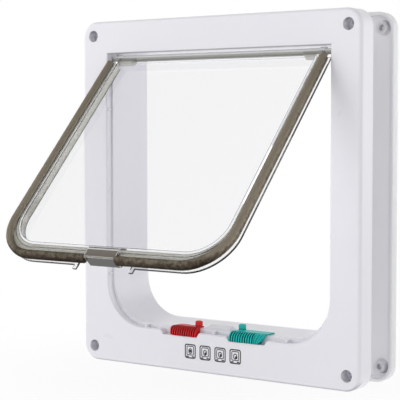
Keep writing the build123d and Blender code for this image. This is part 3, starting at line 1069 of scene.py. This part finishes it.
@dataclass
class PrintedSigns:
    """Four small printed signs under the opening, one for each setting of the lock sliders.

    Each has a border, a doorway, a small flap with a dot, and two dashes.
    """

    finish: PrintedInk
    face_y: float = -15.0 * MM
    middle_z: float = -110.35 * MM
    middles_x: tuple[float, ...] = (-19.0 * MM, -6.15 * MM, 6.7 * MM, 19.5 * MM)
    border: InkRing = InkRing(0.0, (9.5 * MM, 10.3 * MM), 1.7 * MM, 0.85 * MM)
    doorway: InkRing = InkRing(0.5 * MM, (6.3 * MM, 6.7 * MM), 1.0 * MM, 0.6 * MM)
    flap: InkRing = InkRing(0.1 * MM, (3.1 * MM, 4.0 * MM), 1.5 * MM, 0.65 * MM)
    dot_radius: float = 1.0 * MM
    dot_sides: int = 20
    dash_size: Pair = (2.1 * MM, 0.8 * MM)
    dash_places: tuple[Pair, ...] = ((-2.4 * MM, -3.75 * MM), (2.4 * MM, -3.75 * MM))
    ink: float = 0.05 * MM

    def build(self) -> bpy.types.Object:
        """Build the signs as one ink piece on the front frame.

        Returns:
            The piece.
        """
        shape = bmesh.new()
        for middle, sign in zip(self.middles_x, Sign):
            self.add_sign(shape, Vector((middle, self.face_y, self.middle_z)), sign)
        bmesh.ops.recalc_face_normals(shape, faces=shape.faces)
        piece = new_piece("printed_signs", shape, self.finish.build(), smooth=False)
        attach(piece, "frame")
        return piece

    def add_sign(self, shape: bmesh.types.BMesh, centre: Vector, sign: Sign) -> None:
        """Add one sign.

        Args:
            shape: Bmesh of the signs.
            centre: The sign's middle, on the frame's face.
            sign: Which sign it is.
        """
        for ring in (self.border, self.doorway, self.flap):
            self.add_ring(shape, centre, ring)
        right, up = sign.value
        place = self.stand(centre + Vector((right * MM, 0.0, self.flap.lift + up * MM)))
        circle = {"cap_ends": True, "segments": self.dot_sides, "radius": self.dot_radius}
        dot = bmesh.ops.create_circle(shape, matrix=place, **circle)["verts"]
        self.raise_ink(shape, dot[0].link_faces)
        for x, z in self.dash_places:
            dash = self.add_plate(shape, self.stand(centre + Vector((x, 0.0, z)), self.dash_size))
            self.raise_ink(shape, dash[0].link_faces)

    @staticmethod
    def stand(centre: Vector, size: Pair = (1.0, 1.0)) -> Matrix:
        """Matrix that stands a flat shape up on the frame's face, stretched to a size."""
        stretch = Matrix.Diagonal((*size, 1.0, 1.0))
        return Matrix.Translation(centre) @ Matrix.Rotation(QUARTER_TURN, 4, "X") @ stretch

    @staticmethod
    def add_plate(shape: bmesh.types.BMesh, place: Matrix) -> list[bmesh.types.BMVert]:
        """Add a flat square with sides of 1, put in its place, and return its corners."""
        grid = {"x_segments": 1, "y_segments": 1, "size": 0.5}
        return bmesh.ops.create_grid(shape, matrix=place, **grid)["verts"]

    def raise_ink(self, shape: bmesh.types.BMesh, faces: Iterable[bmesh.types.BMFace]) -> None:
        """Give flat faces the thickness of the ink, towards the viewer."""
        pull(shape, list(faces), Vector((0.0, -self.ink, 0.0)), keep=True)

    def add_ring(self, shape: bmesh.types.BMesh, centre: Vector, ring: InkRing) -> None:
        """Add a rounded rectangular outline of ink.

        Args:
            shape: Bmesh of the signs.
            centre: Middle of the sign.
            ring: The outline.
        """
        part = bmesh.new()
        corners = self.add_plate(part, self.stand(centre + Vector((0.0, 0.0, ring.lift)), ring.size))
        bmesh.ops.bevel(
            part,
            geom=corners,
            offset=ring.corner,
            offset_type="OFFSET",
            affect="VERTICES",
            segments=ring.corner_steps,
            profile=0.5,
            material=-1,
        )
        inner = list(part.faces)
        bmesh.ops.inset_region(
            part,
            faces=inner,
            thickness=ring.line,
            use_even_offset=True,
            use_boundary=True,
        )
        bmesh.ops.delete(part, geom=inner, context="FACES")
        self.raise_ink(part, part.faces)
        mesh = new_mesh("ring", part)
        shape.from_mesh(mesh)
        bpy.data.meshes.remove(mesh)


@dataclass
class GripRibs:
    """Ribs that fan out over the slanted end of the green slider's grip, in millimetres.

    Attributes:
        finish: Material of the slider.
        course: Points that a rib follows up the grip, through the door and up.
        section: Points across a rib, across and through the door.
        feet: Place of each rib across the grip at the bottom.
        heads: Place of each rib across the grip at the top.
    """

    finish: bpy.types.Material
    course: tuple[Pair, ...] = (
        (-15.6, -99.9),
        (-15.6, -98.6),
        (-15.19, -96.53),
        (-14.02, -94.78),
        (-12.27, -93.61),
    )
    section: tuple[Pair, ...] = (
        (-0.4, 0.15),
        (-0.35, -0.4),
        (0.0, -0.6),
        (0.35, -0.4),
        (0.4, 0.15),
    )
    feet: tuple[float, ...] = (34.6, 35.9, 37.2)
    heads: tuple[float, ...] = (35.0, 37.7, 40.4)

    def build(self) -> bpy.types.Object:
        """Build the ribs as one piece on the green slider.

        Returns:
            The piece.
        """
        shape = bmesh.new()
        low, high = self.course[0][1], self.course[-1][1]
        for foot, head in zip(self.feet, self.heads):
            lean = (head - foot) / (high - low)
            spots = [Vector((foot + lean * (z - low), y, z)) * MM for y, z in self.course]
            ring = [shape.verts.new(spots[0] + Vector((x, y, 0.0)) * MM) for x, y in self.section]
            end = [shape.faces.new(ring)]
            for here, there in zip(spots, spots[1:]):
                end = pull(shape, end, there - here)
        bmesh.ops.recalc_face_normals(shape, faces=shape.faces)
        piece = new_piece("grip_ribs", shape, self.finish, smooth=False)
        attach(piece, "lock_green")
        return piece


@dataclass
class Dressing:
    """Finishes of the CAD nodes that keep their own shape."""

    white: MouldedPlastic
    rear_white: MouldedPlastic
    clear: ClearPlastic
    smoked: SmokedPlastic
    steel: PlatedSteel
    red: MouldedPlastic
    green: MouldedPlastic

    def dress(self, nodes: dict[str, bpy.types.Object]) -> None:
        """Put a finish on each node.

        Args:
            nodes: CAD objects by node name.
        """
        white = self.white.build()
        steel = self.steel.build()
        finishes = {
            "front_frame": white,
            "rear_frame": self.rear_white.build(),
            "sill_magnet_cover": white,
            "flap_panel": self.clear.build(),
            "magnet_clip": self.smoked.build(),
            "flap_magnet": steel,
            "sill_magnet": steel,
            "lock_slider_red": self.red.build(),
            "lock_slider_green": self.green.build(),
        }
        for name, finish in finishes.items():
            for slot in nodes[name].material_slots:
                slot.material = finish
            LOG.info("dressed %s with %s", name, finish.name)
        nodes["flap_panel"].visible_shadow = False


def stand_facing(
    name: str,
    data: bpy.types.Light | bpy.types.Camera,
    place: tuple[float, float, float],
    look: Vector,
) -> bpy.types.Object:
    """Stand a light or a camera in the scene.

    Args:
        name: Name of its object.
        data: The light or the camera.
        place: Where it stands, in metres.
        look: Which way it looks.

    Returns:
        The new object.
    """
    stood = bpy.data.objects.new(name, data)
    stood.location = place
    stood.rotation_euler = look.to_track_quat("-Z", "Y").to_euler()
    bpy.context.scene.collection.objects.link(stood)
    return stood


@dataclass(frozen=True)
class SoftBox:
    """A square soft light that faces the object: its place and side in metres, and its power in watts."""

    name: str
    place: tuple[float, float, float]
    size: float
    power: float

    def build(self) -> None:
        """Hang the light."""
        lamp = bpy.data.lights.new(self.name, "AREA")
        lamp.size = self.size
        lamp.energy = self.power
        stand_facing(self.name, lamp, self.place, -Vector(self.place))


@dataclass
class Studio:
    """Floor, soft lights, pale surroundings and the camera."""

    floor: StudioFloor
    floor_z: float = -125.0 * MM
    floor_size: float = 6.0
    floor_cells: int = 8
    lights: tuple[SoftBox, ...] = (
        SoftBox("key_light", (-1.5, -1.7, 0.5), 2.4, 22.0),
        SoftBox("fill_light", (1.4, 1.4, 0.5), 1.4, 7.5),
    )
    eye: tuple[float, float, float] = (545.09 * MM, -779.31 * MM, 48.33 * MM)
    yaw: float = math.radians(36.015)
    pitch: float = math.radians(3.11)
    lens: float = 121.88
    sensor: float = 36.0
    near: float = 10.0 * MM
    surround: float = 0.52
    ceiling: Pair = (0.5, 0.62)
    ceiling_colour: Colour = (0.05, 0.05, 0.045)

    def build(self) -> None:
        """Set up the whole studio: the key light is at the front left, and the fill at the right rear."""
        self.build_floor()
        for light in self.lights:
            light.build()
        self.build_surroundings()
        self.build_camera()
        bpy.context.scene.view_settings.view_transform = "Standard"

    def build_floor(self) -> None:
        """Lay the floor under the object."""
        shape = bmesh.new()
        bmesh.ops.create_grid(
            shape,
            x_segments=self.floor_cells,
            y_segments=self.floor_cells,
            size=self.floor_size,
            matrix=Matrix.Translation((0.0, 0.0, self.floor_z)),
        )
        new_piece("floor", shape, self.floor.build())

    def build_surroundings(self) -> None:
        """Fill the surroundings with soft light.

        They look plain white to the camera, and through clear parts too, apart from a dark ceiling.
        """
        bench = NodeBench(bpy.data.worlds.new("surroundings"), "OutputWorld")
        up = bench.axis(bench.add("TexCoord").outputs["Generated"], "Z")
        ceiling = bench.span(up, 0.0, 1.0, self.ceiling)
        through = bench.add("LightPath").outputs["Is Transmission Ray"]
        dim = bench.math("MULTIPLY", ceiling, through)
        light = {
            "Color": bench.ramp(dim, ((0.0, WHITE), (1.0, self.ceiling_colour))),
            "Strength": bench.span(bench.seen_directly(), self.surround, 1.0),
        }
        bpy.context.scene.world = bench.finish(Surface=bench.add("Background", light).outputs["Background"])

    def build_camera(self) -> None:
        """Stand the camera at the viewing angle."""
        camera = bpy.data.cameras.new("camera")
        camera.lens = self.lens
        camera.sensor_width = self.sensor
        camera.clip_start = self.near
        level = math.cos(self.pitch)
        look = Vector((-math.sin(self.yaw) * level, math.cos(self.yaw) * level, -math.sin(self.pitch)))
        bpy.context.scene.camera = stand_facing("camera", camera, self.eye, look)


def plan_dressing(flap: FlapPlace) -> Dressing:
    """Choose the finishes of the CAD nodes.

    Args:
        flap: Where the flap's own frame lies.

    Returns:
        The finishes.
    """
    white = MouldedPlastic(
        "white_plastic_satin",
        colour=(0.9, 0.892, 0.945),
        shade=(0.885, 0.877, 0.935),
        edge_radius=0.4 * MM,
        glow_weight=0.15,
        glow_depth=4.0 * MM,
        # painted shade in hollows towards the sides, such as the corner holes, and on faces that look down at
        # the front
        painted_shade=PaintedShade(outside=95.0 * MM, under_level=0.5),
    )
    # painted shade in the grooves between the sliders' ribs
    grip = PaintedShade(level=0.2, reach=2.0 * MM, limits=(0.35, 0.9))
    red = MouldedPlastic(
        "red_plastic_satin",
        colour=(0.8, 0.011, 0.015),
        shade=(0.68, 0.008, 0.011),
        gloss=Gloss(0.38, 0.06),
        specular=0.25,
        painted_shade=grip,
    )
    return Dressing(
        white=white,
        rear_white=replace(
            white,
            name="white_plastic_thin",
            glow_weight=1.0,
            glow_depth=9.0 * MM,
            # painted shade in the rear frame's hollows
            painted_shade=PaintedShade(level=0.6),
        ),
        clear=ClearPlastic("clear_plastic_polished", flap),
        smoked=SmokedPlastic("smoked_plastic_polished", flap),
        steel=PlatedSteel("magnet_plating"),
        red=red,
        green=replace(
            red,
            name="green_plastic_satin",
            colour=(0.006, 0.62, 0.58),
            shade=(0.004, 0.53, 0.49),
            # painted shade in the grooves, where neighbouring parts also count
            painted_shade=replace(grip, alone=False),
        ),
    )


def main() -> None:
    """Load the frame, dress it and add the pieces."""
    logging.basicConfig(level=logging.INFO)
    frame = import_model()
    Studio(StudioFloor("pale_floor")).build()
    flap = FlapPlace()
    plan_dressing(flap).dress(frame["nodes"])
    pile = PileFinish("brown_pile_fibres", flap)
    tape = BackingTape("pile_backing_tape")
    ink = PrintedInk("black_ink", colour=(0.012, 0.012, 0.013), thin=(0.04, 0.04, 0.043))
    green = frame["nodes"]["lock_slider_green"].material_slots[0].material
    pieces = [piece for side in Side for piece in PileStrip(side, flap, pile, tape).build()]
    pieces += [PrintedSigns(ink).build(), GripRibs(green).build()]
    for piece in pieces:
        LOG.info("built %s with %d faces", piece.name, len(piece.data.polygons))


if __name__ == "__main__":
    main()
